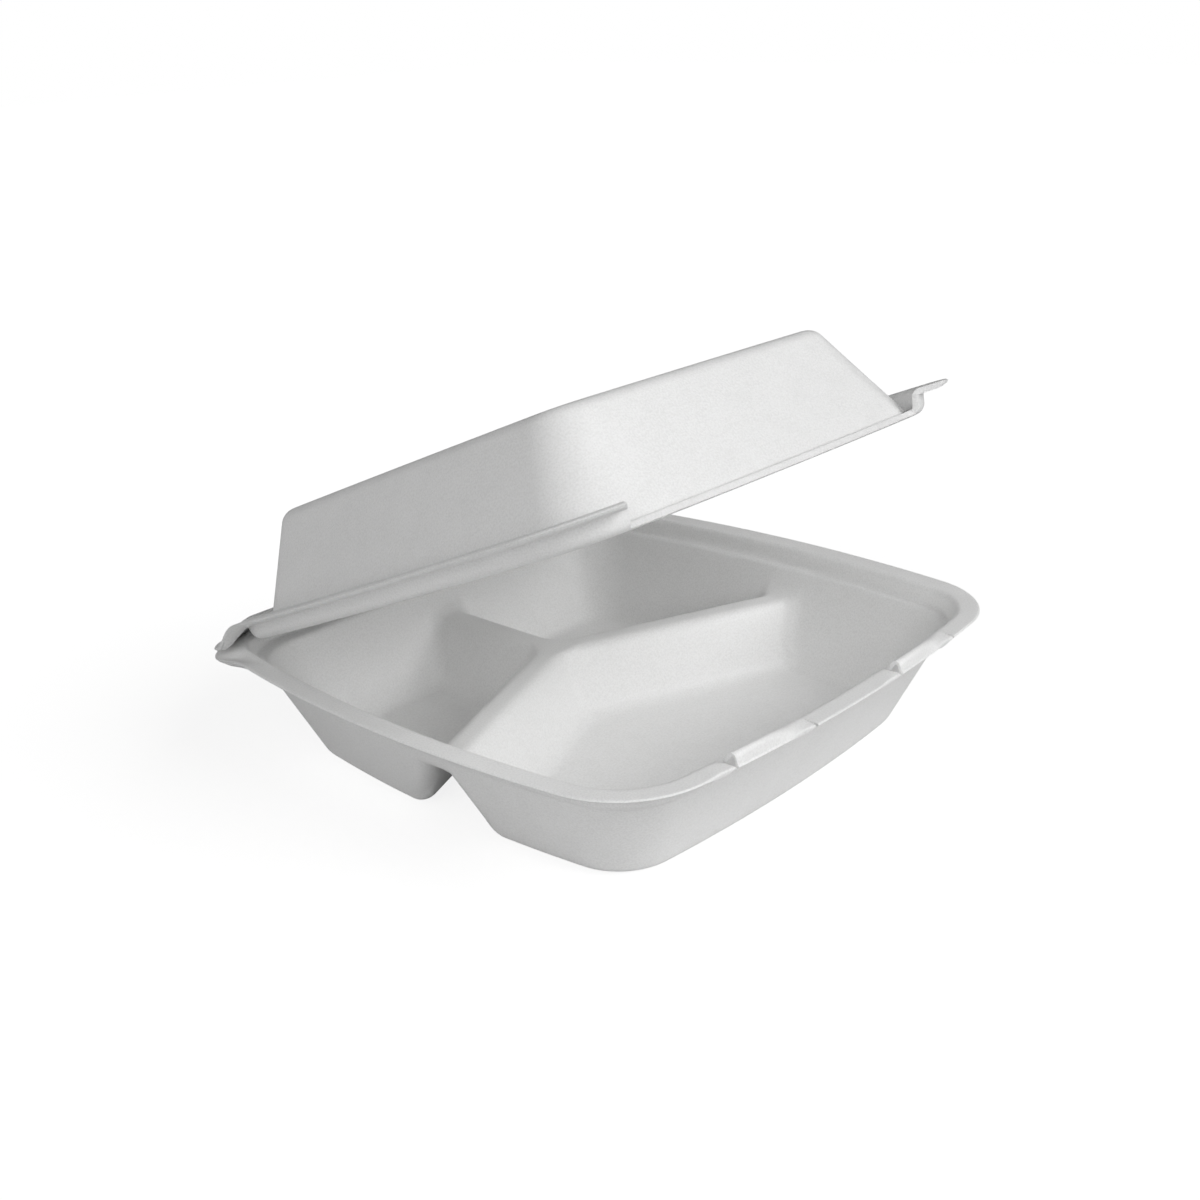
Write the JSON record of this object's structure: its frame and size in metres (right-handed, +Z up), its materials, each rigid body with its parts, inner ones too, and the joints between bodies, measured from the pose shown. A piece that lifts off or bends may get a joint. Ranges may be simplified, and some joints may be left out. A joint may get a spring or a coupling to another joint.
{
  "type": "foam clamshell container",
  "caption": "Foam take-away container: a tray parted by a Y-shaped ridge, with a stepped rim and latch tongues, and a domed lid hinged along the back.",
  "frame": {"origin": "on the plane that the tray stands on, under the middle of its rim", "axes": "+X along the hinge to the right seen from the front, +Y to the hinge, +Z up; the lid is open by 23 degrees"},
  "size_m": [0.235, 0.2258, 0.152],
  "materials": {
    "foam": "fine-grained satin foam sheet"
  },
  "bodies": {
    "tray": {"tray": "foam"},
    "lid": {"lid": "foam"}
  },
  "joints": [
    {"name": "lid_hinge", "type": "hinge", "parent": "tray", "child": "lid", "pos_m": [0, 0.1125, 0.0462], "axis": [-1, 0, 0], "range_deg": [-23, 157]}
  ]
}
